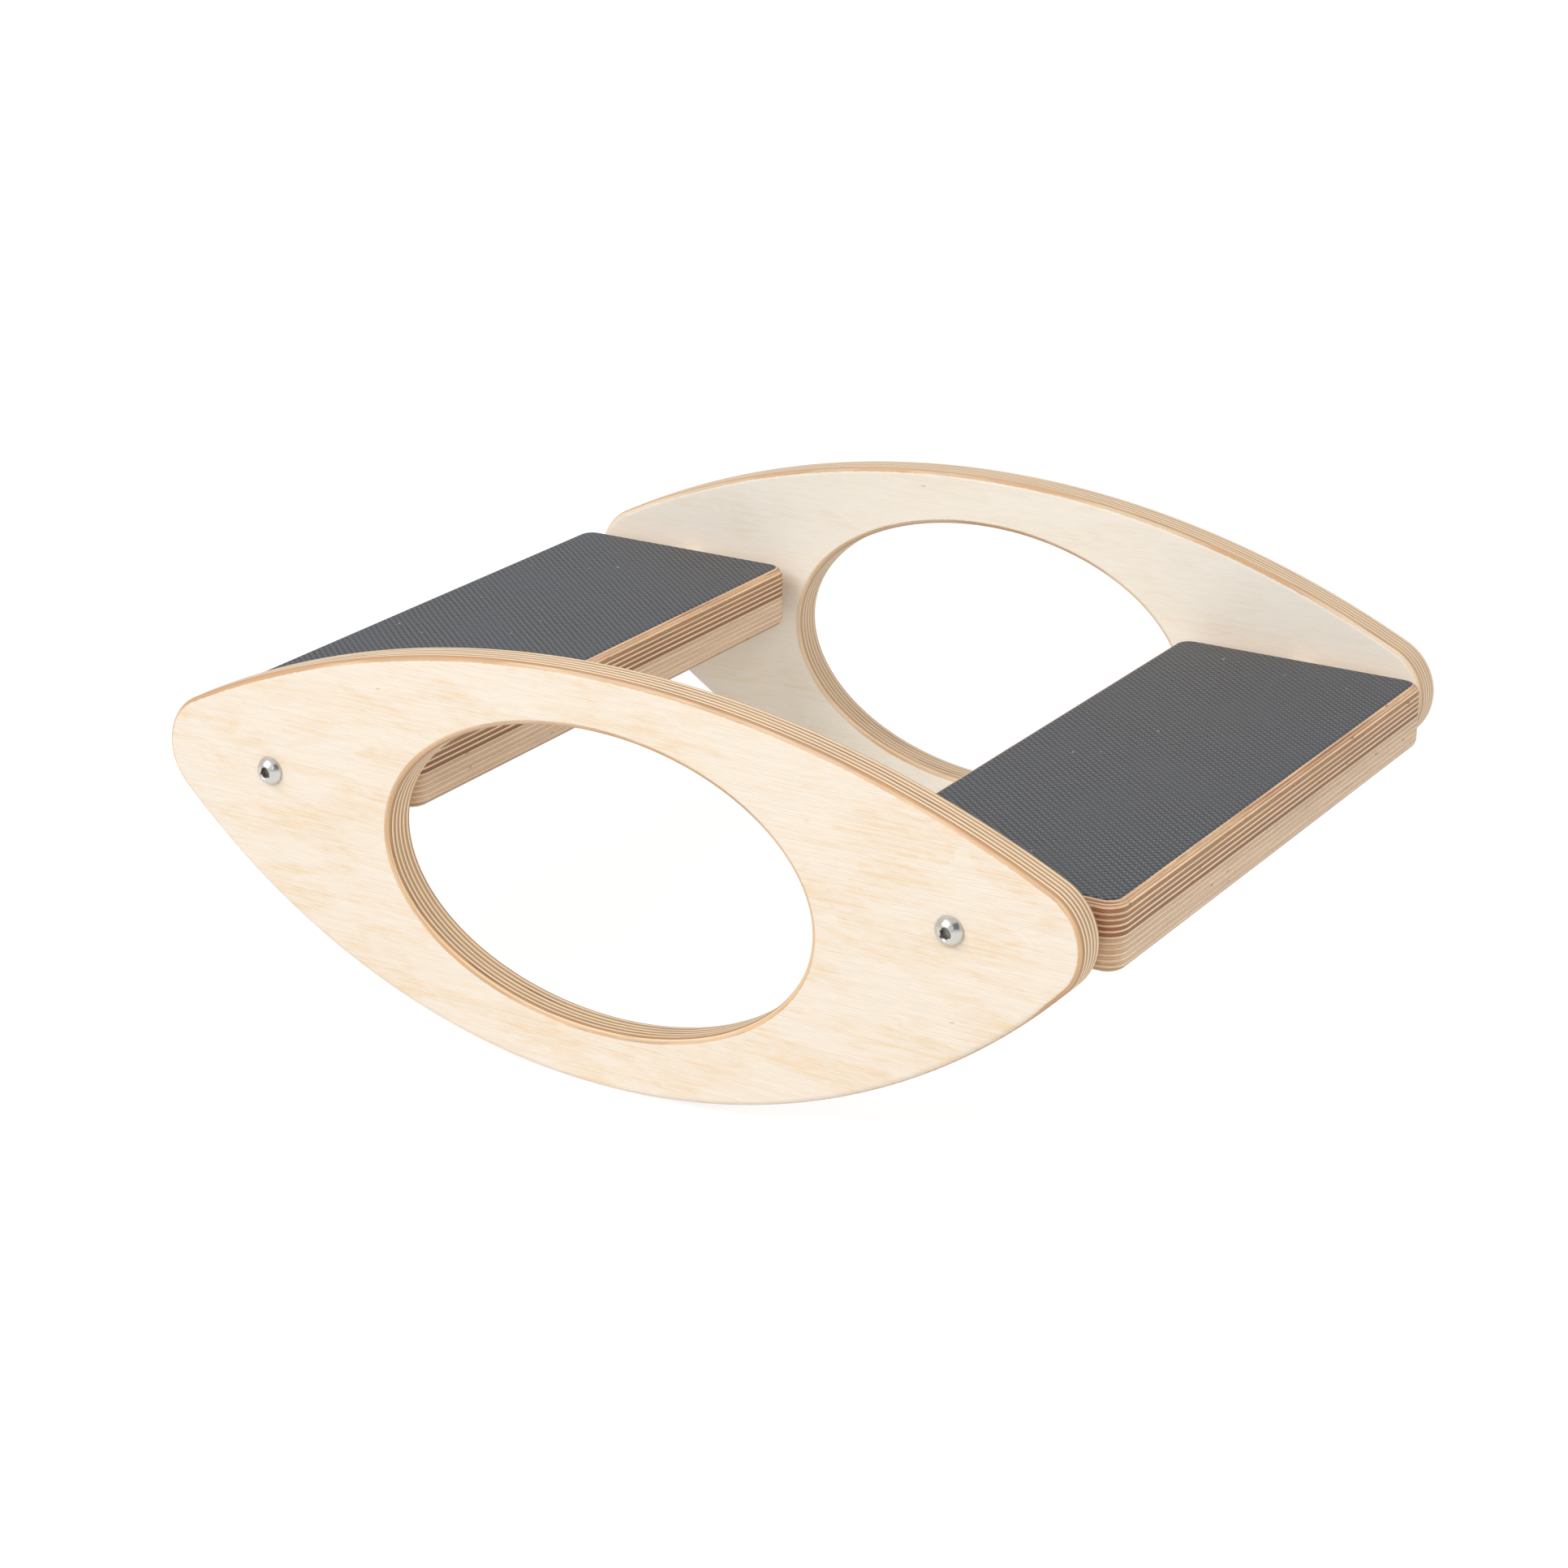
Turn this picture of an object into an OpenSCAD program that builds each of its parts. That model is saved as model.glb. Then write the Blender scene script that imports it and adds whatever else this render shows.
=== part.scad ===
// Rocker board: two lens-shaped plywood side panels carry two plywood footboards.
// The lower runner is curved more than the upper one, so turning the rocker over changes how
// lively it is. Each footboard swivels about one screw at each end, so its grip side can
// be turned up again. The X axis runs along the side panels, Z is up, and the origin lies on
// the floor under the middle. All sizes are in millimetres.

/* [Side panels] */
// Height of a side panel, from the floor to the top of its upper runner
panel_height = 202.5; // [190:0.5:212]
// Radius of the lower runner, on which the rocker stands
lower_radius = 336; // [320:1:360]
// Radius of the upper runner, on which it stands when it is turned over
upper_radius = 530; // [490:5:580]
// Radius of each tip, where the lower runner turns into the upper one
tip_radius = 28.5; // [24:0.5:34]
// Thickness of a side panel, a sheet of 13 plies
panel_thickness = 18; // [15:0.5:24]
// Rounding along every long edge of a side panel, outside and in the hand hole
panel_edge = 3; // [1:0.5:5]

/* [Hand holes] */
// Length of the oval hand hole
hole_length = 233; // [215:1:243]
// Height of the oval hand hole
hole_height = 146; // [132:1:150]
// Height of the middle of the hand hole above the floor
hole_centre_height = 102; // [98:0.5:105]

/* [Footboards] */
// Length of a footboard, across the rocker
board_length = 336; // [266:5:426]
// Width of a footboard
board_width = 135; // [118:1:142]
// Thickness of a footboard without its film, a stack of 25 plies
board_thickness = 33.4; // [28:0.2:40]
// Radius of the upright corners of a footboard
board_corner = 10; // [9:1:20]
// Rounding along the top and bottom edges of a footboard, which cuts through the film
board_edge = 5.5; // [2:0.5:8]

/* [Grip films] */
// Thickness of the grip film on top of a footboard
film_thickness = 0.4; // [0.3:0.1:3]

/* [Pivots] */
// Distance from the centre of a tip's arc in to the pivot axis
pivot_inset = 34.8; // [30:0.2:40]
// Distance from the centre of a tip's arc down to the pivot axis
pivot_drop = 2.3; // [-2:0.1:6]
// Thickness of the spacer between a side panel and a footboard
spacer_thickness = 6.8; // [5:0.2:12]
// Diameter of the spacer
spacer_diameter = 24; // [18:1:26]
// End play of a footboard on each pivot
end_play = 0.2; // [0.1:0.05:0.5]
// Outer diameter of the sleeve that turns in the side panel
sleeve_diameter = 11; // [10:0.5:12.5]
// Diameter of the sleeve's bore, through which the screw passes
sleeve_bore = 8.4; // [8.2:0.1:9]
// Running clearance between the sleeve and its bores, on the radius
running_clearance = 0.05; // [0.02:0.01:0.1]

/* [Pivot screws] */
// Thread diameter of the screws
screw_diameter = 8; // [7:0.5:8]
// Length of a screw under its head
screw_length = 50; // [45:5:55]
// Diameter of the domed head
head_diameter = 14; // [13:0.5:18]
// Height of the domed head
head_height = 4.4; // [3.8:0.1:5]
// Height of the upright rim at the foot of the head
head_rim = 0.6; // [0.3:0.1:1]
// Diameter of the flat on top of the head
head_flat = 6.6; // [6.4:0.1:7.5]
// Width of the hexagon socket across its flats
socket_width = 5; // [4:0.5:5.5]
// Depth of the hexagon socket
socket_depth = 2.8; // [2:0.1:3.2]
// Diameter of the countersink round the mouth of the socket
socket_mouth = 6.2; // [5.8:0.1:6.4]
// Outer diameter of the threaded insert in the end of a footboard
insert_diameter = 14; // [12:0.5:18]
// Length of the threaded insert
insert_length = 25; // [15:1:30]
// Width of the two slots in which the insert is driven
insert_slot = 2; // [1:0.5:3]

/* [Hidden] */

LEFT = -1;
RIGHT = 1;
FRONT = -1;
REAR = 1;

// Sides of the turned pieces, and of the arcs and the oval of a side panel. The runners have odd
// numbers, so that each has a side, and no corner, in the middle.
smooth = 64;
tip_sides = 14;
upper_sides = 37;
lower_sides = 61;
oval_sides = 80;
// Degrees between the rings of a rounded edge
round_step = 22.5;
// How far a cutting shape runs past what it cuts
overrun = 1;

// Where the pieces lie along a pivot axis, measured from the middle of the rocker
board_end = board_length/2;
panel_inner_face = board_end + end_play + spacer_thickness;
panel_outer_face = panel_inner_face + panel_thickness;
sleeve_length = panel_thickness + spacer_thickness + 2*end_play;
head_seat = board_end + sleeve_length;
insert_room = 3;
pocket_depth = max(insert_length, screw_length - sleeve_length) + insert_room;

// Where the arcs of a side panel's outline have their centres, as points [x, height], and the
// directions in which a tip's arc touches the two runners
upper_centre = [0, panel_height - upper_radius];
lower_centre = [0, lower_radius];
tip_centre = meeting(lower_centre, lower_radius - tip_radius, upper_centre, upper_radius - tip_radius);
low_touch = direction(lower_centre, tip_centre);
high_touch = direction(upper_centre, tip_centre);

// The pivots keep to the tips: half the distance between their axes, and their height
pivot_x = tip_centre[0] - pivot_inset;
pivot_height = tip_centre[1] - pivot_drop;

// The outline as arcs, anticlockwise: [centre, radius, first direction, last direction, sides]
lens_arcs = [
    [tip_centre, tip_radius, low_touch, high_touch, tip_sides],
    [upper_centre, upper_radius, high_touch, 180 - high_touch, upper_sides],
    [[-tip_centre[0], tip_centre[1]], tip_radius, 180 - high_touch, 180 - low_touch, tip_sides],
    [lower_centre, lower_radius, 180 - low_touch, 360 + low_touch, lower_sides]
];

// The domed head's ball passes through the top of the rim and the edge of the flat
ball_drop = (pow(head_diameter/2, 2) - pow(head_flat/2, 2) - pow(head_height, 2) + pow(head_rim, 2))
    / (2*(head_height - head_rim));
ball_radius = norm([head_diameter/2, head_rim + ball_drop]);
socket_corner = socket_width/cos(30)/2;
mouth_depth = (socket_mouth - socket_width)/2;

// Point at the distances ra from a and rb from b, on the left of the way from a to b
function meeting(a, ra, b, rb) =
    let (way = b - a, gap = norm(way), u = way/gap)
    let (along = (gap*gap + ra*ra - rb*rb)/(2*gap), across = sqrt(ra*ra - along*along))
    a + u*along + [-u[1], u[0]]*across;

// Direction from a to b, in degrees
function direction(a, b) = atan2(b[1] - a[1], b[0] - a[0]);

// The side panel's outline, moved out by a distance. Its arcs touch each other, so each keeps
// its centre and its directions, and only its radius changes.
function lens_ring(out) = [
    for (arc = lens_arcs, i = [0 : arc[4] - 1])
        let (way = arc[2] + (arc[3] - arc[2])*i/arc[4])
        arc[0] + (arc[1] + out)*[cos(way), sin(way)]
];

// The hand hole's outline, an ellipse, moved out by a distance
function oval_ring(out) = [
    for (i = [0 : oval_sides - 1])
        let (t = 360*i/oval_sides, a = hole_length/2, b = hole_height/2)
        let (normal = [b*cos(t), a*sin(t)])
        [a*cos(t), hole_centre_height + b*sin(t)] + normal/norm(normal)*out
];

// Levels [out, height] of a side panel's section, from one face to the other. The edges
// are rounded inwards, or outwards for a hole.
function rounded_levels(inwards) = [
    for (half = [-1, 1], a = half < 0 ? [90 : -round_step : 0] : [0 : round_step : 90])
        [inwards*panel_edge*(cos(a) - 1), half*(panel_thickness/2 - panel_edge*(1 - sin(a)))]
];

// A solid through rings of as many points, one ring at each height
module loft(rings, heights) {
    count = len(rings[0]);
    last = len(rings) - 1;
    polyhedron(
        points = [for (k = [0 : last], p = rings[k]) [p[0], p[1], heights[k]]],
        faces = [
            [for (i = [0 : count - 1]) i],
            [for (i = [count - 1 : -1 : 0]) last*count + i],
            for (k = [0 : last - 1], i = [0 : count - 1])
                let (j = (i + 1)%count, low = k*count, high = low + count)
                each [[low + i, high + i, high + j], [low + i, high + j, low + j]]
        ]
    );
}

// The solid lens, with its edges rounded
module lens_plate() {
    levels = rounded_levels(1);
    loft([for (level = levels) lens_ring(level[0])], [for (level = levels) level[1]]);
}

// The space in the hand hole, which flares out at both faces and runs past them
module hand_hole() {
    flare = rounded_levels(-1);
    past = panel_thickness/2 + overrun;
    levels = concat([[panel_edge, -past]], flare, [[panel_edge, past]]);
    loft([for (level = levels) oval_ring(level[0])], [for (level = levels) level[1]]);
}

// A side panel, drawn flat and then stood on its lower runner
module side_panel(end)
    color("blanchedalmond")
        translate([0, end*(panel_inner_face + panel_thickness/2), 0])
            rotate([90, 0, 0])
                difference() {
                    lens_plate();
                    hand_hole();
                    for (side = [LEFT, RIGHT])
                        translate([side*pivot_x, pivot_height])
                            cylinder(
                                h = panel_thickness + 2*overrun,
                                r = sleeve_diameter/2 + running_clearance,
                                center = true,
                                $fn = smooth
                            );
                }

// What rounding an edge takes away from a square corner
module edge_waste()
    difference() {
        square(board_edge + overrun);
        circle(board_edge, $fn = smooth);
    }

// Section of a footboard and its film from the middle out to one edge, with the edge's top and
// bottom rounded
module half_section(half)
    difference() {
        translate([0, -board_thickness/2])
            square([half, board_thickness + film_thickness]);
        translate([half - board_edge, board_thickness/2 + film_thickness - board_edge])
            edge_waste();
        translate([half - board_edge, board_edge - board_thickness/2])
            mirror([0, 1])
                edge_waste();
    }

// The wood's part of that section, or the film's
module layer_section(half, film)
    intersection() {
        half_section(half);
        translate([0, film ? board_thickness/2 : -board_thickness/2 - overrun])
            square([half + overrun, film ? film_thickness + overrun : board_thickness + overrun]);
    }

module whole_section(width, film)
    for (side = [0, 1])
        mirror([side, 0])
            layer_section(width/2, film);

// A layer of a footboard: a bar each way between its corners, and a turned post at each
module board_layer(film) {
    rotate([90, 0, 0])
        linear_extrude(board_length - 2*board_corner, center = true)
            whole_section(board_width, film);
    rotate([90, 0, 90])
        linear_extrude(board_width - 2*board_corner, center = true)
            whole_section(board_length, film);
    for (x = [-1, 1], y = [-1, 1])
        translate([x*(board_width/2 - board_corner), y*(board_length/2 - board_corner)])
            rotate_extrude($fn = smooth)
                layer_section(board_corner, film);
}

module footboard(side)
    color("burlywood")
        translate([side*pivot_x, 0, pivot_height])
            difference() {
                board_layer(film = false);
                for (end = [0, 1])
                    mirror([0, end])
                        translate([0, board_end - pocket_depth, 0])
                            rotate([-90, 0, 0])
                                cylinder(h = pocket_depth + overrun, d = insert_diameter, $fn = smooth);
            }

module grip_film(side)
    color("dimgray")
        translate([side*pivot_x, 0, pivot_height])
            board_layer(film = true);

// Places a piece of a pivot, drawn with its axis upright and outwards, at its end of a footboard
module at_pivot(side, end, distance)
    translate([side*pivot_x, end*distance, pivot_height])
        rotate([-90*end, 0, 0])
            children();

// The domed head, with a bevelled hexagon socket
module screw_head()
    difference() {
        intersection() {
            cylinder(h = head_height, d = head_diameter, $fn = smooth);
            translate([0, 0, -ball_drop])
                sphere(ball_radius, $fn = smooth);
        }
        translate([0, 0, head_height - socket_depth])
            cylinder(h = socket_depth + overrun, r = socket_corner, $fn = 6);
        translate([0, 0, head_height - mouth_depth])
            cylinder(h = 2*mouth_depth, d1 = socket_width, d2 = 2*socket_mouth - socket_width, $fn = smooth);
    }

module pivot_screw(side, end)
    color("silver")
        at_pivot(side, end, head_seat) {
            screw_head();
            bevel = screw_diameter/8;
            translate([0, 0, bevel - screw_length])
                cylinder(h = screw_length - bevel, d = screw_diameter, $fn = smooth);
            translate([0, 0, -screw_length])
                cylinder(h = bevel, d1 = screw_diameter - 2*bevel, d2 = screw_diameter, $fn = smooth);
        }

module pivot_sleeve(side, end)
    color("lightsteelblue")
        at_pivot(side, end, board_end)
            difference() {
                cylinder(h = sleeve_length, d = sleeve_diameter, $fn = smooth);
                translate([0, 0, -overrun])
                    cylinder(h = sleeve_length + 2*overrun, d = sleeve_bore, $fn = smooth);
            }

module pivot_spacer(side, end)
    color("whitesmoke")
        at_pivot(side, end, panel_inner_face - spacer_thickness)
            difference() {
                cylinder(h = spacer_thickness, d = spacer_diameter, $fn = smooth);
                translate([0, 0, -overrun])
                    cylinder(
                        h = spacer_thickness + 2*overrun,
                        r = sleeve_diameter/2 + running_clearance,
                        $fn = smooth
                    );
            }

module threaded_insert(side, end)
    color("gold")
        at_pivot(side, end, board_end - insert_length)
            difference() {
                cylinder(h = insert_length, d = insert_diameter, $fn = smooth);
                translate([0, 0, -overrun])
                    cylinder(h = insert_length + 2*overrun, d = screw_diameter, $fn = smooth);
                translate([0, 0, insert_length])
                    cube([insert_diameter + overrun, insert_slot, 2*insert_slot], center = true);
            }

side_panel(FRONT);  // side_panel_front
side_panel(REAR);  // side_panel_rear
footboard(LEFT);  // footboard_left
footboard(RIGHT);  // footboard_right
grip_film(LEFT);  // grip_film_left
grip_film(RIGHT);  // grip_film_right
pivot_screw(LEFT, FRONT);  // pivot_screw_front_left
pivot_screw(RIGHT, FRONT);  // pivot_screw_front_right
pivot_screw(LEFT, REAR);  // pivot_screw_rear_left
pivot_screw(RIGHT, REAR);  // pivot_screw_rear_right
pivot_sleeve(LEFT, FRONT);  // pivot_sleeve_front_left
pivot_sleeve(RIGHT, FRONT);  // pivot_sleeve_front_right
pivot_sleeve(LEFT, REAR);  // pivot_sleeve_rear_left
pivot_sleeve(RIGHT, REAR);  // pivot_sleeve_rear_right
pivot_spacer(LEFT, FRONT);  // pivot_spacer_front_left
pivot_spacer(RIGHT, FRONT);  // pivot_spacer_front_right
pivot_spacer(LEFT, REAR);  // pivot_spacer_rear_left
pivot_spacer(RIGHT, REAR);  // pivot_spacer_rear_right
threaded_insert(LEFT, FRONT);  // threaded_insert_front_left
threaded_insert(RIGHT, FRONT);  // threaded_insert_front_right
threaded_insert(LEFT, REAR);  // threaded_insert_rear_left
threaded_insert(RIGHT, REAR);  // threaded_insert_rear_right
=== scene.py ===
"""Looks of the rocker board: two birch plywood side panels, two footboards with grip film, and
the screws, sleeves, spacers and inserts on which the footboards swivel. Lengths are in metres."""

import math

import bmesh
import bpy
from mathutils import Matrix, Vector


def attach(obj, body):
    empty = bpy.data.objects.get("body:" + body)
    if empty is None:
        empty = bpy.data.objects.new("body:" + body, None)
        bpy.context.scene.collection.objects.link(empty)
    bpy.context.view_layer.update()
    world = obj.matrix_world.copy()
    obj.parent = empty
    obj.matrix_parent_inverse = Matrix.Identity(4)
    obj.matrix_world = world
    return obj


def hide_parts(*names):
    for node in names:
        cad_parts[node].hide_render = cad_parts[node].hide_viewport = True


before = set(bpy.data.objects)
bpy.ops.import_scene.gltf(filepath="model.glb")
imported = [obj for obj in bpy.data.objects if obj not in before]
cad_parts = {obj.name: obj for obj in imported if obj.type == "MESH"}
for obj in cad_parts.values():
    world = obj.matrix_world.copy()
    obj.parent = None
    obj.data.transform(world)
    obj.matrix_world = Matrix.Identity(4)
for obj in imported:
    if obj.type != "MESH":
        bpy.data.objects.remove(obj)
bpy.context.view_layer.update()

# Side panels. The steps are the straight pieces of an arc
PANEL_HEIGHT = 0.2025
LOWER_RADIUS = 0.336
UPPER_RADIUS = 0.530
TIP_RADIUS = 0.0285
PANEL_THICKNESS = 0.018
PANEL_PLIES = 13
PANEL_INNER_FACE = 0.175
PANEL_MIDDLE = PANEL_INNER_FACE + PANEL_THICKNESS / 2
PANEL_EDGE = 0.003
FACE_PLY = 0.00125
HOLE_HALF_LENGTH = 0.1165
HOLE_HALF_HEIGHT = 0.073
HOLE_CENTRE_HEIGHT = 0.102
BORE_RADIUS = 0.00555
TIP_STEPS = 24
UPPER_STEPS = 90
LOWER_STEPS = 120
OVAL_STEPS = 160
BORE_STEPS = 40
ROUND_STEPS = 8
FLAT_RIM = 0.0002
FIBRE_PITCH = 0.0011
TOUCHING = 1e-6

# Footboards and their grip film
PIVOT_X = 0.18652
PIVOT_HEIGHT = 0.12022
BOARD_LENGTH = 0.336
BOARD_WIDTH = 0.135
BOARD_THICKNESS = 0.0334
BOARD_TOP = PIVOT_HEIGHT + BOARD_THICKNESS / 2
BOARD_CORNER = 0.010
BOARD_EDGE = 0.0055
FILM_THICKNESS = 0.0004
FILM_TOP = BOARD_TOP + FILM_THICKNESS
POCKET_DEPTH = 0.028
INSERT_RADIUS = 0.007
BOARD_STEPS = 12
BOARD_PLY_PAIR = 0.0027
UPPER_SHEET = 0.0158
TOP_PLY = 0.0020
LAST_CROSS_PLY = 0.0314
MESH_PITCH_X = 0.00238
MESH_PITCH_Y = 0.00193

# Screws and spacers
HEAD_SEAT = 0.1932
HEAD_RADIUS = 0.007
HEAD_HEIGHT = 0.0044
HEAD_RIM = 0.0006
HEAD_FLAT_RADIUS = 0.0033
SOCKET_MOUTH_RADIUS = 0.0031
SOCKET_HALF_WIDTH = 0.0025
SOCKET_DEPTH = 0.0028
HEAD_STEPS = 14
HEAD_CORNER = 0.0002
SHANK_RADIUS = 0.004
SHANK_LENGTH = 0.050
SHANK_POINT = 0.001
SOCKET_TURNS = {"front_left": 12.0, "front_right": 41.0, "rear_left": 27.0, "rear_right": 3.0}
TURNED_STEPS = 48
SPACER_RADIUS = 0.012
SPACER_THICKNESS = 0.0068
SPACER_EDGE = 0.0005

# Shading of new pieces, the angle in degrees
SHARP_ANGLE = 38
FLAT_FACES_WEIGHT = 90

ENDS = {"front": -1, "rear": 1}
SIDES = {"left": -1, "right": 1}

# Camera and light. The image's sizes are in its pixels, the angles in degrees
IMAGE_WIDTH = 1932
IMAGE_FOCUS = 4335.66
IMAGE_AXIS = (1001.08, 951.90)
SENSOR_WIDTH = 36.0
CAMERA_AZIMUTH = 31.625
CAMERA_ELEVATION = 20.765
CAMERA_ROLL = 0.168
CAMERA_AIM = (-0.000856, 0.0, 0.09298)
CAMERA_DISTANCE = 1.7561
WORLD_LIGHT = 0.68
FLOOR_HALF_WIDTH = 40.0
FLOOR_GLOW = 0.84
WHITE = (1.0, 1.0, 1.0)
ROCKER_MIDDLE = (0.0, 0.0, 0.1)


# Shader maths


class Wire:
    """A value in a shader. Python's operators on it add Math nodes."""

    def __init__(self, tree, socket):
        self.tree = tree
        self.socket = socket

    def maths(self, operation, *values):
        node = self.tree.nodes.new("ShaderNodeMath")
        node.operation = operation
        for place, value in enumerate((self,) + values):
            plug(self.tree, node.inputs[place], value)
        return Wire(self.tree, node.outputs[0])

    def __add__(self, other):
        return self.maths("ADD", other)

    def __sub__(self, other):
        return self.maths("SUBTRACT", other)

    def __mul__(self, other):
        return self.maths("MULTIPLY", other)

    def __truediv__(self, other):
        return self.maths("DIVIDE", other)

    def __rsub__(self, other):
        return (self * -1).maths("ADD", other)

    __radd__ = __add__
    __rmul__ = __mul__

    def __abs__(self):
        return self.maths("ABSOLUTE")


def plug(tree, socket, value):
    """Gives a socket a number, a colour, a vector or a link."""
    if isinstance(value, Wire):
        tree.links.new(value.socket, socket)
    elif isinstance(value, tuple) and len(value) == 3 and socket.type == "RGBA":
        socket.default_value = value + (1.0,)
    else:
        socket.default_value = value


class Finish:
    """A material that is being made."""

    def __init__(self, name):
        self.material = bpy.data.materials.new(name)
        self.material.use_nodes = True
        self.tree = self.material.node_tree
        self.tree.nodes.clear()
        self.place = self.node("ShaderNodeTexCoord", out="Object")

    def node(self, kind, settings=None, sockets=None, out=0):
        """Any node: its settings come first, then the values or links of its sockets."""
        node = self.tree.nodes.new(kind)
        for name, value in (settings or {}).items():
            setattr(node, name, value)
        for name, value in (sockets or {}).items():
            plug(self.tree, node.inputs[name], value)
        return Wire(self.tree, node.outputs[out])

    def axes(self):
        """The three parts of the place on the piece."""
        node = self.tree.nodes.new("ShaderNodeSeparateXYZ")
        plug(self.tree, node.inputs[0], self.place)
        return [Wire(self.tree, output) for output in node.outputs]

    def vector(self, x, y, z):
        return self.node("ShaderNodeCombineXYZ", None, {"X": x, "Y": y, "Z": z})

    def noise(self, vector, scale=1.0, detail=2.0, roughness=0.5, distortion=0.0):
        sockets = {
            "Vector": vector,
            "Scale": scale,
            "Detail": detail,
            "Roughness": roughness,
            "Distortion": distortion,
        }
        return self.node("ShaderNodeTexNoise", None, sockets)

    def grain(self, x, y, z, detail=2.0, roughness=0.5, distortion=0.0):
        """Noise at a place whose three parts are stretched each by itself."""
        return self.noise(self.vector(x, y, z), 1.0, detail, roughness, distortion)

    def ramp(self, value, low, high):
        """0 at low and 1 at high, with a smooth slope between them. Low may be the higher one."""
        sockets = {"Value": value, "From Min": min(low, high), "From Max": max(low, high)}
        if low > high:
            sockets.update({"To Min": 1.0, "To Max": 0.0})
        settings = {"interpolation_type": "SMOOTHSTEP"}
        return self.node("ShaderNodeMapRange", settings, sockets)

    def mix(self, factor, first, second):
        """The first colour where factor is 0, the second where it is 1."""
        node = self.tree.nodes.new("ShaderNodeMix")
        node.data_type = "RGBA"
        plug(self.tree, node.inputs[0], factor)
        plug(self.tree, node.inputs[6], first)
        plug(self.tree, node.inputs[7], second)
        return Wire(self.tree, node.outputs[2])

    def shade(self, colour, by):
        """A colour times a value near 1, which makes it a little darker or lighter."""
        node = self.tree.nodes.new("ShaderNodeVectorMath")
        node.operation = "SCALE"
        plug(self.tree, node.inputs[0], colour)
        plug(self.tree, node.inputs["Scale"], by)
        return Wire(self.tree, node.outputs[0])

    def bump(self, height, distance, strength=1.0):
        sockets = {"Height": height, "Distance": distance, "Strength": strength}
        return self.node("ShaderNodeBump", None, sockets)

    def surface(self, **sockets):
        """Ends the material with one shader."""
        named = {name.replace("_", " "): value for name, value in sockets.items()}
        shader = self.node("ShaderNodeBsdfPrincipled", None, named)
        output = self.tree.nodes.new("ShaderNodeOutputMaterial")
        self.tree.links.new(shader.socket, output.inputs["Surface"])
        return self.material


def seen_directly(tree):
    """1 for what the camera sees, also in metal and through glass, and 0 for all other rays."""
    rays = tree.nodes.new("ShaderNodeLightPath").outputs
    seen = Wire(tree, rays["Is Camera Ray"])
    for name in ("Is Glossy Ray", "Is Transmission Ray"):
        seen = seen.maths("MAXIMUM", Wire(tree, rays[name]))
    return seen


def tone(shaded_end_red, green, blue):
    """A colour in linear light, from its sRGB parts, which go from 0 to 255."""
    return tuple(((part / 255 + 0.055) / 1.055) ** 2.4 if part > 10 else part / 3295
                 for part in (shaded_end_red, green, blue))


# Finishes


def veneer(finish, along, across, seed, pale, warm, figure=1.0):
    """Rotary-cut birch, whose fibres run along one direction. Also gives the lines of its pores."""
    drift = finish.grain(along * 9.0, across * 24.0, seed, 3.0, 0.55, 0.8)
    waves = finish.grain(along * 17.0, across * 60.0, drift * 5.0 + seed, 3.0, 0.55, 0.5)
    streaks = finish.grain(along * 50.0, across * 760.0, seed, 4.0, 0.62, 0.3)
    curls = finish.grain(along * 130.0, across * 420.0, seed, 3.0, 0.62, 0.4)
    rows = (across + drift * 0.006) * (math.tau / FIBRE_PITCH)
    pores = finish.ramp(rows.maths("SINE"), 0.0, 1.0) * finish.ramp(streaks, 0.60, 0.36)
    patches = finish.ramp(waves, 0.42, 0.64)
    flecks = finish.ramp(streaks * 0.6 + curls * 0.4, 0.42, 0.62) * (patches * 0.6 + 0.4)
    threads = finish.grain(along * 30.0, across * 1050.0, seed, 2.0, 0.6, 0.2)
    threads = finish.ramp(threads, 0.46, 0.64) * (patches * 0.5 + 0.5)
    colour = finish.mix((patches * 0.18 + flecks * 0.56 + threads * 0.50) * figure, pale, warm)
    colour = finish.mix(pores * (0.50 * figure), colour, finish.shade(warm, 0.84))
    knots = finish.ramp(finish.grain(along * 130.0, across * 330.0, seed, 0.0), 0.87, 0.91)
    return finish.mix(knots * 0.5, colour, tone(196, 160, 118)), pores


def plies(finish, depth, first, pair, light_share):
    """1 in the middle of the plies that lie along the sheet, 0 in the cross plies, then 1 in the
    glue between them, and the number of the pair of plies. The light plies' middles lie at
    first, first + pair and so on."""
    count = (depth - first) / pair + 0.5
    number = count.maths("FLOOR")
    off = abs(count - number - 0.5)
    light = finish.ramp(off, light_share / 2 + 0.05, light_share / 2 - 0.05)
    glue = finish.ramp(abs(off - light_share / 2 - 0.06), 0.09, 0.03)
    return light, glue, number


def chance(finish, number, seed):
    """A value from 0 to 1 that is the same all over one ply."""
    sockets = {"W": number * 1.37 + seed}
    return finish.node("ShaderNodeTexWhiteNoise", {"noise_dimensions": "1D"}, sockets)


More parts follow.
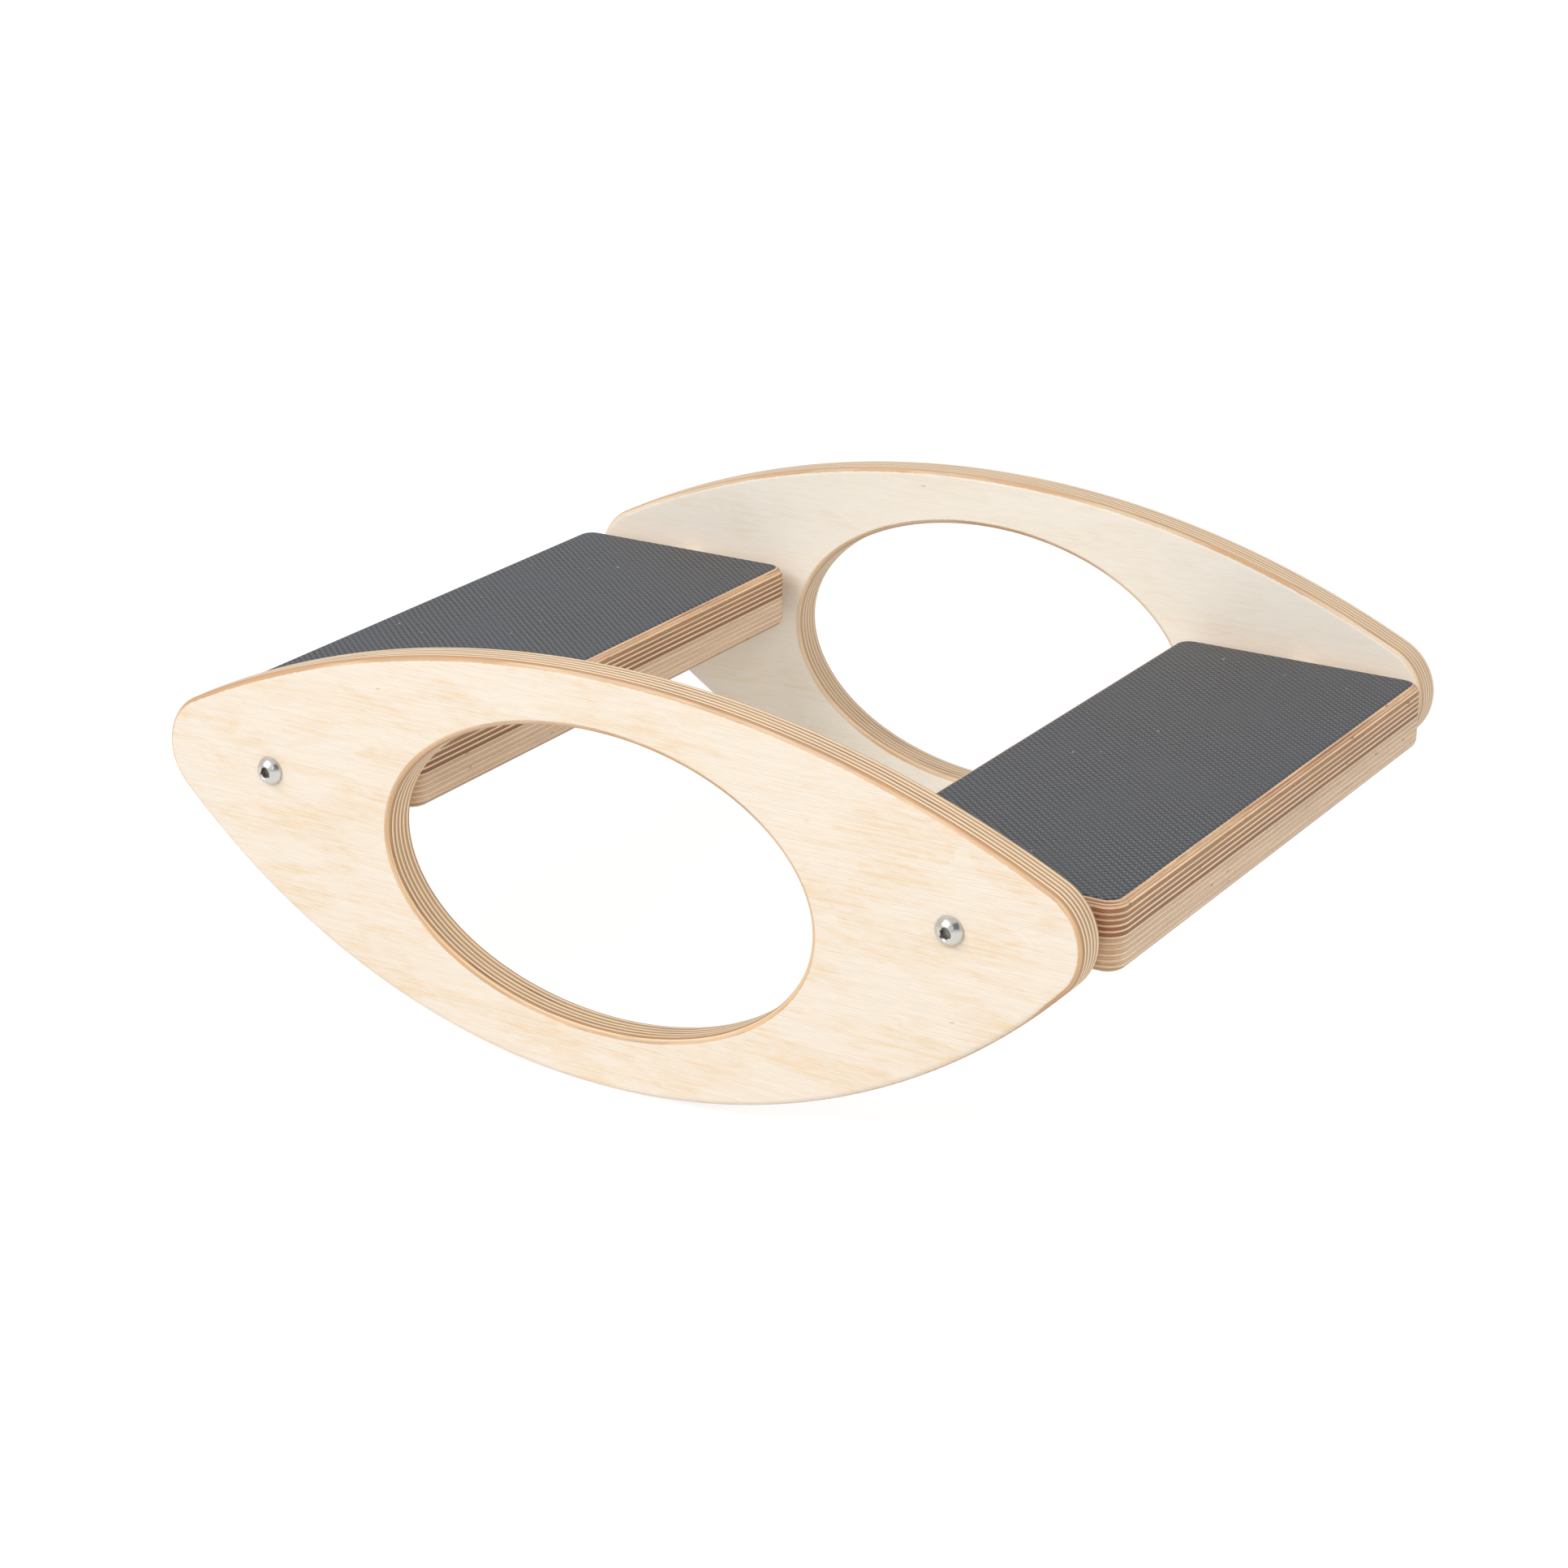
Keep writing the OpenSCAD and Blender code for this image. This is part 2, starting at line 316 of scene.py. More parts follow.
def panel_birch(name, seed, pale, warm, skins, figure):
    """A side panel: veneer on its faces, plies round its edges. Figure, from 0 to 1, is how clearly
    its veneer, plies and cracks show. Skins are the two tones of the sanded face ply, which shows
    between the face and the plies."""
    finish = Finish(name)
    x, y, z = finish.axes()
    depth = PANEL_THICKNESS / 2 - abs(abs(y) - PANEL_MIDDLE)
    face, pores = veneer(finish, x, z, seed, pale, warm, figure)

    pair = 2 * PANEL_THICKNESS / PANEL_PLIES
    across = abs(y) - PANEL_INNER_FACE
    light, glue, number = plies(finish, across, pair / 4, pair, 0.48)
    streak = finish.grain(x * 24.0, y * 2300.0, z * 24.0, 4.0, 0.6)
    broad = finish.grain(x * 16.0, y * 420.0, z * 16.0, 3.0, 0.6)
    rough = finish.grain(x * 260.0, y * 1600.0, z * 260.0, 2.0, 0.6)
    cross = finish.mix(chance(finish, number, seed), tone(192, 144, 100), tone(214, 170, 126))
    long = finish.mix(chance(finish, number, seed + 5.0), tone(252, 226, 188), tone(255, 236, 206))
    edge = finish.mix(light, cross, long)
    bleed = chance(finish, number, seed + 9.0) * 0.6 + 0.3
    edge = finish.mix(glue * bleed * finish.ramp(broad, 0.32, 0.50), edge, tone(124, 88, 62))
    edge = finish.mix((1.0 - figure) * 0.9, edge, tone(230, 202, 168))

    in_hole_x, in_hole_z = x / HOLE_HALF_LENGTH, (z - HOLE_CENTRE_HEIGHT) / HOLE_HALF_HEIGHT
    at_hole = finish.ramp(in_hole_x * in_hole_x + in_hole_z * in_hole_z, 1.30, 1.15)
    in_low_hole = at_hole * finish.ramp(z, 0.130, 0.060)
    at_hole_ends = at_hole * finish.ramp(abs(x), 0.04, 0.10)
    end_grain = finish.ramp(abs(x), 0.165, 0.225).maths("MAXIMUM", at_hole_ends)

    skin = finish.mix(finish.ramp(broad, 0.36, 0.60), *skins)
    lines = plies(finish, across, 0.0001, 0.00055, 0.40)[0] * finish.ramp(streak, 0.62, 0.40)
    skin = finish.mix(lines * 0.42, skin, tone(242, 218, 184))
    flank = finish.mix(finish.ramp(broad, 0.38, 0.58), tone(200, 158, 116), tone(216, 188, 156))
    skin = finish.mix((1.0 - end_grain) * 0.85, skin, flank)
    under_skin = in_low_hole * finish.ramp(depth, 0.0005, 0.0009) * 0.7
    skin = finish.mix(under_skin, skin, tone(240, 212, 174))
    # Painted shade: low in the hole the plies get a darker copy of their own colour.
    edge = finish.mix(in_low_hole * 0.45, edge, finish.shade(edge, 0.72))
    edge = finish.mix(finish.ramp(depth, FACE_PLY + 0.00025, FACE_PLY), edge, skin)
    edge = finish.shade(edge, finish.ramp(streak, 0.32, 0.68) * 0.15 + 0.925)
    gaps = finish.grain(x * 20.0, y * 1100.0, z * 20.0)
    gaps = finish.ramp(gaps + in_low_hole * 0.05, 0.55, 0.61)
    cracks = finish.ramp(broad, 0.50, 0.58) * gaps * (1.0 - light * 0.7)
    edge = finish.mix(cracks * (0.75 * figure), edge, tone(118, 78, 48))

    worn = depth * (finish.noise(finish.place, 420.0, 3.0, 0.65) * 1.8 + 0.1)
    below = (1.0 - at_hole) * finish.ramp(z, 0.105, 0.085)
    on_face = finish.ramp(worn * (at_hole * 2.5 + 1.0 - below * 0.85), 0.00026, 0.00008)
    colour = finish.mix(on_face, edge, face)
    height = finish.mix(on_face, rough * 0.5 + light * 0.3, 1.0 - pores)
    return finish.surface(
        Base_Color=colour,
        Roughness=0.52 - on_face * 0.06 + pores * 0.06,
        Normal=finish.bump(height, 0.00005, 0.5),
        Coat_Weight=0.12,
        Coat_Roughness=0.35,
    )


def board_birch(name, seed):
    """A footboard: an upper sheet with dark glue, a pale lower sheet glued under it."""
    finish = Finish(name)
    x, y, z = finish.axes()
    depth = FILM_TOP - z
    face = veneer(finish, y, x, seed, tone(240, 222, 194), tone(228, 196, 154))[0]

    light, glue, number = plies(finish, depth, 0.0001, BOARD_PLY_PAIR, 0.37)
    streak = finish.grain(x * 22.0, y * 22.0, z * 1900.0, 4.0, 0.62)
    broad = finish.grain(x * 9.0, y * 9.0, z * 420.0, 3.0, 0.6)
    rough = finish.grain(x * 420.0, y * 420.0, z * 1500.0, 2.0, 0.6)
    upper = finish.ramp(depth, UPPER_SHEET + 0.0002, UPPER_SHEET - 0.0001)
    at_end = finish.ramp(abs(y), BOARD_LENGTH / 2 - BOARD_CORNER, BOARD_LENGTH / 2 - 0.0015)
    pick = chance(finish, number, seed)
    sunk = finish.ramp(depth, TOP_PLY, 0.0150)
    dark = finish.mix(sunk * 0.8 + pick * 0.2, tone(188, 142, 96), tone(140, 95, 54))
    low = finish.ramp(depth, 0.0160, 0.0300)
    pale = finish.mix(pick * 0.4 + low * 0.6, tone(212, 178, 144), tone(232, 200, 168))
    cross = finish.mix(upper, pale, dark)
    # Painted shade with warm bounce light at the ends, which face the panels across a narrow gap:
    # redder, darker cross plies, and below, fainter light plies.
    shaded_end_red = finish.mix(upper, tone(190, 146, 106), tone(150, 90, 50))
    cross = finish.mix(at_end * 0.7, cross, shaded_end_red)
    long = finish.mix(upper, tone(246, 220, 190), tone(248, 214, 180))
    edge = finish.mix(light * (upper * 0.30 + 0.70) * (1.0 - at_end * 0.40), cross, long)
    bleed = chance(finish, number, seed + 9.0) * 0.6 + 0.2
    edge = finish.mix(glue * bleed * (upper * 0.6 + 0.4), edge, tone(122, 82, 54))
    sanded = plies(finish, depth, 0.0006, 0.00105, 0.30)[0]
    skin = finish.mix(finish.ramp(broad, 0.35, 0.60), tone(178, 122, 78), tone(232, 186, 140))
    # Painted shade at the ends: a dark brown skin.
    skin = finish.mix(at_end * 0.85, skin, tone(150, 96, 58))
    skin = finish.mix(sanded * 0.75, skin, tone(246, 216, 184))
    edge = finish.mix(finish.ramp(depth, TOP_PLY + 0.0005, TOP_PLY), edge, skin)
    seam = abs(depth - UPPER_SHEET).maths("LESS_THAN", 0.00022)
    edge = finish.mix(seam * 0.7, edge, tone(128, 96, 72))
    last_cross = abs(depth - LAST_CROSS_PLY).maths("LESS_THAN", 0.0007)
    edge = finish.mix(last_cross * 0.5, edge, tone(150, 116, 88))
    grain = finish.ramp(streak, 0.36, 0.64) * 0.26 + finish.ramp(rough, 0.34, 0.66) * 0.12
    edge = finish.shade(edge, grain + 0.81)
    cracks = finish.ramp(broad, 0.53, 0.60) * finish.ramp(streak, 0.50, 0.56) * (1.0 - light)
    edge = finish.mix(cracks * (upper * 0.35 + 0.25), edge, tone(104, 70, 48))
    knots = finish.ramp(finish.grain(x * 100.0, y * 100.0, z * 360.0, 1.0), 0.74, 0.78)
    edge = finish.mix(knots * 0.7, edge, tone(120, 82, 56))

    under = finish.ramp(depth, BOARD_THICKNESS + 0.0001, BOARD_THICKNESS + 0.0003)
    colour = finish.mix(under, edge, face)
    return finish.surface(
        Base_Color=colour,
        Roughness=rough * 0.1 + 0.5,
        Normal=finish.bump(rough * 0.5 + light * 0.5, 0.00008, 0.6),
        Coat_Weight=0.08,
        Coat_Roughness=0.4,
    )


def mesh_film(name):
    """Dark phenolic film with the pattern of a woven wire mesh in relief, whose hollows carry
    painted shadow and whose knuckles carry a painted highlight.
    """
    finish = Finish(name)
    x, y, z = finish.axes()
    wander = finish.noise(finish.vector(x, y, 0.0), 50.0) * 0.0009
    warp = (x + wander) * (math.pi / MESH_PITCH_X)
    weft = (y + wander) * (math.pi / MESH_PITCH_Y)
    weave = (warp - weft).maths("COSINE") * 0.5 - (warp + weft).maths("COSINE") * 0.5
    wear = finish.noise(finish.place, 22.0, 3.0, 0.6)
    grit = finish.grain(x * 1500.0, y * 900.0, z, 2.0, 0.6)
    depth = finish.ramp(wear, 0.30, 0.60) * 0.4 + 0.6
    holes = finish.ramp(weave + grit * 0.4 - 0.20, 0.36, 0.76) * depth
    lean = (weft * 2.0).maths("SINE") * -0.22
    chains = ((warp + lean) * 2.0).maths("COSINE") * -0.6
    knuckles = finish.ramp(chains - weave * 0.45 + grit * 0.5 - 0.25, 0.10, 0.85) * depth
    body = finish.mix(wear, tone(72, 75, 81), tone(77, 78, 81))
    knuckle_highlight = finish.mix(wear, tone(113, 116, 121), tone(121, 121, 121))
    # Painted shadow: the hollows of the mesh drawn near black.
    colour = finish.mix(holes, body, tone(8, 10, 15))
    # Painted highlight: the raised knuckles drawn paler.
    colour = finish.mix(knuckles * 0.75, colour, knuckle_highlight)
    specks = finish.ramp(finish.noise(finish.place, 420.0, 0.0), 0.885, 0.90)
    colour = finish.mix(specks, colour, tone(206, 204, 198))
    return finish.surface(
        Base_Color=colour,
        Roughness=grit * 0.16 + wear * 0.08 + 0.36,
        Normal=finish.bump(knuckles - holes + grit * 0.1, 0.00025, 0.7),
        Specular_IOR_Level=0.36,
    )


def polished_steel(name):
    """A screw: polished, with a duller socket whose inside is painted darker as painted shade."""
    finish = Finish(name)
    x, y, z = finish.axes()
    smear = finish.noise(finish.place, 700.0, 3.0, 0.6)
    fine = finish.noise(finish.place, 5200.0, 2.0, 0.6)
    aside, raised = abs(x) - PIVOT_X, z - PIVOT_HEIGHT
    from_axis = (aside * aside + raised * raised).maths("SQRT")
    sunk = HEAD_SEAT + HEAD_HEIGHT - abs(y)
    # Painted shade: the inside of the socket, a recess, is drawn darker; it is also rougher.
    inside = finish.ramp(from_axis, 0.0030, 0.0026) * finish.ramp(sunk, 0.0006, 0.0018)
    unshaded_steel = finish.mix(smear, tone(196, 194, 190), tone(214, 212, 208))
    return finish.surface(
        Base_Color=finish.mix(inside, unshaded_steel, tone(140, 135, 128)),
        Metallic=1.0,
        Roughness=smear * 0.10 + inside * 0.20 + 0.18,
        Normal=finish.bump(fine, 0.000004, 0.4),
    )


def lathe_marks(finish, around, along):
    """Fine rings round a turned piece, whose axis lies along Y."""
    x, y, z = finish.axes()
    return finish.grain(x * around, y * along, z * around, 2.0, 0.6)


def turned_steel(name):
    finish = Finish(name)
    marks = lathe_marks(finish, 60.0, 9000.0)
    return finish.surface(
        Base_Color=finish.mix(marks, tone(168, 168, 168), tone(196, 196, 195)),
        Metallic=1.0,
        Roughness=marks * 0.15 + 0.25,
        Normal=finish.bump(marks, 0.000010, 0.5),
    )


def nylon(name):
    finish = Finish(name)
    marks = lathe_marks(finish, 80.0, 4000.0)
    cloud = finish.noise(finish.place, 90.0)
    return finish.surface(
        Base_Color=finish.mix(cloud, tone(222, 219, 208), tone(233, 230, 221)),
        Roughness=marks * 0.12 + 0.36,
        Normal=finish.bump(marks, 0.000015, 0.5),
    )


def insert_brass(name):
    finish = Finish(name)
    marks = lathe_marks(finish, 60.0, 7000.0)
    tarnish = finish.noise(finish.place, 180.0, 3.0, 0.6)
    return finish.surface(
        Base_Color=finish.mix(tarnish, tone(196, 158, 84), tone(222, 188, 118)),
        Metallic=1.0,
        Roughness=tarnish * 0.2 + 0.25,
        Normal=finish.bump(marks, 0.000010, 0.5),
    )


# Making pieces


def moved(bm, matrix):
    bmesh.ops.transform(bm, matrix=matrix, verts=bm.verts[:])


def piece(name, bm, material, body, slot, *nodes):
    """Makes a piece of a finished bmesh, rides it on its body and lets it stand for its nodes."""
    bmesh.ops.remove_doubles(bm, verts=bm.verts[:], dist=TOUCHING)
    bmesh.ops.recalc_face_normals(bm, faces=bm.faces[:])
    mesh = bpy.data.meshes.new(name)
    bm.to_mesh(mesh)
    bm.free()
    mesh.materials.append(material)
    mesh.shade_smooth()
    mesh.set_sharp_from_angle(angle=math.radians(SHARP_ANGLE))
    made = bpy.data.objects.new(name, mesh)
    bpy.context.scene.collection.objects.link(made)
    evened = made.modifiers.new("even_shading", "WEIGHTED_NORMAL")
    evened.keep_sharp = True
    evened.weight = FLAT_FACES_WEIGHT
    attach(made, body)
    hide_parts(*nodes)


def swept(bm, start, centre, degrees, steps):
    """An arc of edges from a vertex round a centre [x, height], anticlockwise from the front.
    Gives the arc's last vertex."""
    made = bmesh.ops.spin(
        bm,
        geom=[start],
        cent=(centre[0], 0.0, centre[1]),
        axis=(0.0, -1.0, 0.0),
        angle=math.radians(degrees),
        steps=steps,
        use_merge=False,
    )
    return next(part for part in made["geom_last"] if isinstance(part, bmesh.types.BMVert))


def direction(a, b):
    return math.degrees(math.atan2(b[1] - a[1], b[0] - a[0]))


def lens_outline(bm):
    """The side panel's outline: two runners and two tips, whose arcs touch each other. A tip's
    centre is where circles of radius low and high, round the runners' centres, cross."""
    low_centre = (0.0, LOWER_RADIUS)
    high_centre = (0.0, PANEL_HEIGHT - UPPER_RADIUS)
    gap = low_centre[1] - high_centre[1]
    low, high = LOWER_RADIUS - TIP_RADIUS, UPPER_RADIUS - TIP_RADIUS
    down = (gap**2 + low**2 - high**2) / (2 * gap)
    tip_x, tip_z = math.sqrt(low**2 - down**2), LOWER_RADIUS - down
    low_touch = direction(low_centre, (tip_x, tip_z))
    high_touch = direction(high_centre, (tip_x, tip_z))
    first = math.radians(low_touch)
    touch = (tip_x + TIP_RADIUS * math.cos(first), 0.0, tip_z + TIP_RADIUS * math.sin(first))
    corner = bm.verts.new(touch)
    corner = swept(bm, corner, (tip_x, tip_z), high_touch - low_touch, TIP_STEPS)
    corner = swept(bm, corner, high_centre, 180 - 2 * high_touch, UPPER_STEPS)
    corner = swept(bm, corner, (-tip_x, tip_z), high_touch - low_touch, TIP_STEPS)
    swept(bm, corner, low_centre, 180 + 2 * low_touch, LOWER_STEPS)
    bmesh.ops.remove_doubles(bm, verts=bm.verts[:], dist=TOUCHING)


def upright_ring(bm, steps, x, height, half_length, half_height):
    """An oval of edges that stands in the plane of the side panels."""
    matrix = Matrix.Translation((x, 0.0, height)) @ Matrix.Rotation(math.radians(90), 4, "X")
    matrix = matrix @ Matrix.Diagonal((half_length, half_height, 1.0, 1.0))
    made = bmesh.ops.create_circle(bm, cap_ends=False, segments=steps, radius=1.0, matrix=matrix)
    return made["verts"]


def rounded_rims(bm, faces, radius, steps):
    """Rounds the rims of a flat region of faces, then sets off a narrow flat ring inside them, at
    which the smooth shading of the rounding ends."""
    for step in range(steps):
        before, after = (math.radians(90 * part / steps) for part in (step, step + 1))
        bmesh.ops.inset_region(
            bm,
            faces=faces,
            use_boundary=True,
            use_even_offset=True,
            thickness=radius * (math.cos(before) - math.cos(after)),
            depth=radius * (math.sin(after) - math.sin(before)),
        )
    bmesh.ops.inset_region(
        bm,
        faces=faces,
        use_boundary=True,
        use_even_offset=True,
        thickness=FLAT_RIM,
    )


def side_panel(end):
    """A flat lens with its hole, thickened, rounded on both sides and bored at the pivots. A disc
    closes each bore until the end, so that the rounding leaves its rims sharp."""
    bm = bmesh.new()
    lens_outline(bm)
    upright_ring(bm, OVAL_STEPS, 0.0, HOLE_CENTRE_HEIGHT, HOLE_HALF_LENGTH, HOLE_HALF_HEIGHT)
    discs = []
    for side in SIDES.values():
        ring = upright_ring(bm, BORE_STEPS, side * PIVOT_X, PIVOT_HEIGHT, BORE_RADIUS, BORE_RADIUS)
        discs.append(ring)
    bmesh.ops.triangle_fill(bm, use_beauty=True, edges=bm.edges[:])
    for ring in discs:
        bm.faces.new(ring)
    flat = PANEL_THICKNESS / 2 - PANEL_EDGE
    bmesh.ops.translate(bm, vec=(0.0, -flat, 0.0), verts=bm.verts[:])
    made = bmesh.ops.extrude_face_region(bm, geom=bm.faces[:], use_keep_orig=True)["geom"]
    bmesh.ops.translate(
        bm,
        vec=(0.0, 2 * flat, 0.0),
        verts=[part for part in made if isinstance(part, bmesh.types.BMVert)],
    )
    bmesh.ops.recalc_face_normals(bm, faces=bm.faces[:])
    for way in (-1, 1):
        cap = [face for face in bm.faces if face.normal.y * way > 0.99]
        rounded_rims(bm, cap, PANEL_EDGE, ROUND_STEPS)
    for side in SIDES.values():
        pair = [face for face in bm.faces
                if len(face.verts) == BORE_STEPS and face.calc_center_median().x * side > 0]
        rims = [edge for face in pair for edge in face.edges]
        bmesh.ops.delete(bm, geom=pair, context="FACES_ONLY")
        bmesh.ops.bridge_loops(bm, edges=rims)
    moved(bm, Matrix.Translation((0.0, ENDS[end] * PANEL_MIDDLE, 0.0)))
    piece(
        f"birch_panel_{end}",
        bm,
        PANEL_FINISH[end],
        "side_frame",
        "birch_panel",
        f"side_panel_{end}",
    )


def slab(size, centre, corner, corner_steps):
    """A flat block with round upright corners."""
    bm = bmesh.new()
    matrix = Matrix.Translation(centre) @ Matrix.Diagonal((*size, 1.0))
    bmesh.ops.create_cube(bm, size=1.0, matrix=matrix)
    upright = [edge for edge in bm.edges
               if abs(edge.verts[0].co.z - edge.verts[1].co.z) > size[2] / 2]
    bevelled(bm, upright, corner, corner_steps)
    return bm


def bevelled(bm, edges, width, steps):
    bmesh.ops.bevel(
        bm,
        geom=edges,
        offset=width,
        offset_type="OFFSET",
        segments=steps,
        profile=0.5,
        affect="EDGES",
        material=-1,
        clamp_overlap=True,
    )


def rim_at(bm, height):
    """The edges round the top or bottom of a block."""
    return [edge for edge in bm.edges
            if all(abs(corner.co.z - height) < TOUCHING for corner in edge.verts)]


def pocketed(bm, end, x, height, radius, depth):
    """A round pocket in the end of a block. The end's flat face is filled again round it."""
    face = max(bm.faces, key=lambda flat: flat.normal.y * end * flat.calc_area())
    level = face.verts[0].co.y
    rim = face.edges[:]
    bmesh.ops.delete(bm, geom=[face], context="FACES_ONLY")
    ring = upright_ring(bm, BORE_STEPS, x, height, radius, radius)
    bmesh.ops.translate(bm, vec=(0.0, level, 0.0), verts=ring)
    mouth = list({edge for corner in ring for edge in corner.link_edges})
    bmesh.ops.triangle_fill(bm, use_beauty=True, edges=rim + mouth)
    made = bmesh.ops.extrude_edge_only(bm, edges=mouth)["geom"]
    floor = [part for part in made if isinstance(part, bmesh.types.BMVert)]
    bmesh.ops.translate(bm, vec=(0.0, -end * depth, 0.0), verts=floor)
    floor_rim = [part for part in made if isinstance(part, bmesh.types.BMEdge)
                 and all(corner in floor for corner in part.verts)]
    bmesh.ops.contextual_create(bm, geom=floor_rim)


def board_layer(side, film):
    """The film of a footboard or the wood under it. One rounding runs through both."""
    size = (BOARD_WIDTH, BOARD_LENGTH, BOARD_THICKNESS + FILM_THICKNESS)
    middle = (SIDES[side] * PIVOT_X, 0.0, PIVOT_HEIGHT + FILM_THICKNESS / 2)
    bm = slab(size, middle, BOARD_CORNER, BOARD_STEPS)
    for height in (BOARD_TOP - BOARD_THICKNESS, FILM_TOP):
        bevelled(bm, rim_at(bm, height), BOARD_EDGE, BOARD_STEPS)
    cut = bmesh.ops.bisect_plane(
        bm,
        geom=bm.verts[:] + bm.edges[:] + bm.faces[:],
        plane_co=(0.0, 0.0, BOARD_TOP),
        plane_no=(0.0, 0.0, 1.0),
        clear_inner=film,
        clear_outer=not film,
    )
    rim = [part for part in cut["geom_cut"] if isinstance(part, bmesh.types.BMEdge)]
    bmesh.ops.contextual_create(bm, geom=rim)
    return bm


def footboard(side):
    bm = board_layer(side, film=False)
    for end in ENDS.values():
        pocketed(bm, end, SIDES[side] * PIVOT_X, PIVOT_HEIGHT, INSERT_RADIUS, POCKET_DEPTH)
    piece(
        f"ply_board_{side}",
        bm,
        BOARD_FINISH[side],
        f"{side}_tread",
        "birch_board",
        f"footboard_{side}",
    )


def grip_film(side):
    bm = board_layer(side, film=True)
    piece(
        f"mesh_film_{side}",
        bm,
        FILM_FINISH,
        f"{side}_tread",
        "grip_film",
        f"grip_film_{side}",
    )


def spun(bm):
    """Turns a profile in the plane of X and Z all the way round the Z axis."""
    bmesh.ops.spin(
        bm,
        geom=bm.verts[:] + bm.edges[:],
        cent=(0.0, 0.0, 0.0),
        axis=(0.0, 0.0, 1.0),
        angle=math.tau,
        steps=TURNED_STEPS,
        use_merge=True,
    )
    bmesh.ops.remove_doubles(bm, verts=bm.verts[:], dist=TOUCHING)


def profile(bm, start, *points):
    """Edges from a vertex through points [radius, height]. Gives the last vertex."""
    for radius, height in points:
        corner = bm.verts.new((radius, 0.0, height))
        bm.edges.new((start, corner))
        start = corner
    return start


def at_pivot(bm, side, end, distance, turn=0.0):
    """Moves a turned piece, drawn with its axis up, to its end of a footboard."""
    outwards = Matrix.Rotation(math.radians(-90 * ENDS[end]), 4, "X")
    place = Matrix.Translation((SIDES[side] * PIVOT_X, ENDS[end] * distance, PIVOT_HEIGHT))
    moved(bm, place @ outwards @ Matrix.Rotation(math.radians(turn), 4, "Z"))


def pivot_screw(side, end, turn):
    """A button-head screw: its dome, rim and shank turned, then its hexagon socket. The dome is
    part of a ball, whose centre lies ball_drop under the seat of the head."""
    bm = bmesh.new()
    ball_drop = HEAD_RADIUS**2 - HEAD_FLAT_RADIUS**2 - HEAD_HEIGHT**2 + HEAD_RIM**2
    ball_drop /= 2 * (HEAD_HEIGHT - HEAD_RIM)
    start = math.atan2(HEAD_RIM + ball_drop, HEAD_RADIUS)
    stop = math.atan2(HEAD_HEIGHT + ball_drop, HEAD_FLAT_RADIUS)
    rim = bm.verts.new((HEAD_RADIUS, 0.0, HEAD_RIM))
    top = swept(bm, rim, (0.0, -ball_drop), math.degrees(stop - start), HEAD_STEPS)
    profile(bm, top, (SOCKET_MOUTH_RADIUS, HEAD_HEIGHT))
    profile(
        bm,
        rim,
        (HEAD_RADIUS, HEAD_CORNER),
        (HEAD_RADIUS - HEAD_CORNER, 0.0),
        (SHANK_RADIUS, 0.0),
        (SHANK_RADIUS, SHANK_POINT - SHANK_LENGTH),
        (SHANK_RADIUS - SHANK_POINT, -SHANK_LENGTH),
        (0.0, -SHANK_LENGTH),
    )
    spun(bm)
    mouth = [edge for edge in rim_at(bm, HEAD_HEIGHT) if all(
        abs(math.hypot(corner.co.x, corner.co.y) - SOCKET_MOUTH_RADIUS) < TOUCHING
        for corner in edge.verts)]
    made = bmesh.ops.create_circle(bm, cap_ends=False, segments=TURNED_STEPS, radius=1.0)
    hexagon = made["verts"]
    for corner in hexagon:
        way = math.atan2(corner.co.y, corner.co.x) % math.radians(60) - math.radians(30)
        out = SOCKET_HALF_WIDTH / math.cos(way)
        corner.co *= out
        corner.co.z = HEAD_HEIGHT - (SOCKET_MOUTH_RADIUS - out)
    lip = list({edge for corner in hexagon for edge in corner.link_edges})
    bmesh.ops.bridge_loops(bm, edges=mouth + lip)
    walls = bmesh.ops.extrude_edge_only(bm, edges=lip)["geom"]
    foot = [part for part in walls if isinstance(part, bmesh.types.BMVert)]
    for corner in foot:
        corner.co.z = HEAD_HEIGHT - SOCKET_DEPTH
    floor = [part for part in walls if isinstance(part, bmesh.types.BMEdge)
             and all(corner in foot for corner in part.verts)]
    bmesh.ops.contextual_create(bm, geom=floor)
    at_pivot(bm, side, end, HEAD_SEAT, turn)
    name = f"{end}_{side}"
    piece(
        f"button_screw_{name}",
        bm,
        SCREW_FINISH,
        f"{side}_tread",
        "screw_steel",
        f"pivot_screw_{name}",
    )


def pivot_spacer(side, end):
    """A ring with broken outer edges between a footboard and a side panel."""
    bm = bmesh.new()
    start = bm.verts.new((BORE_RADIUS, 0.0, 0.0))
    last = profile(
        bm,
        start,
        (SPACER_RADIUS - SPACER_EDGE, 0.0),
        (SPACER_RADIUS, SPACER_EDGE),
        (SPACER_RADIUS, SPACER_THICKNESS - SPACER_EDGE),
        (SPACER_RADIUS - SPACER_EDGE, SPACER_THICKNESS),
        (BORE_RADIUS, SPACER_THICKNESS),
    )
    bm.edges.new((last, start))
    spun(bm)
    at_pivot(bm, side, end, PANEL_INNER_FACE - SPACER_THICKNESS)
    name = f"{end}_{side}"
    piece(
        f"nylon_spacer_{name}",
        bm,
        SPACER_FINISH,
        "side_frame",
        "spacer_nylon",
        f"pivot_spacer_{name}",
    )


def dressed(node, material):
    """A CAD node that keeps its own shape gets its finish."""
    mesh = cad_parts[node].data
    mesh.materials.clear()
    mesh.materials.append(material)


# Studio


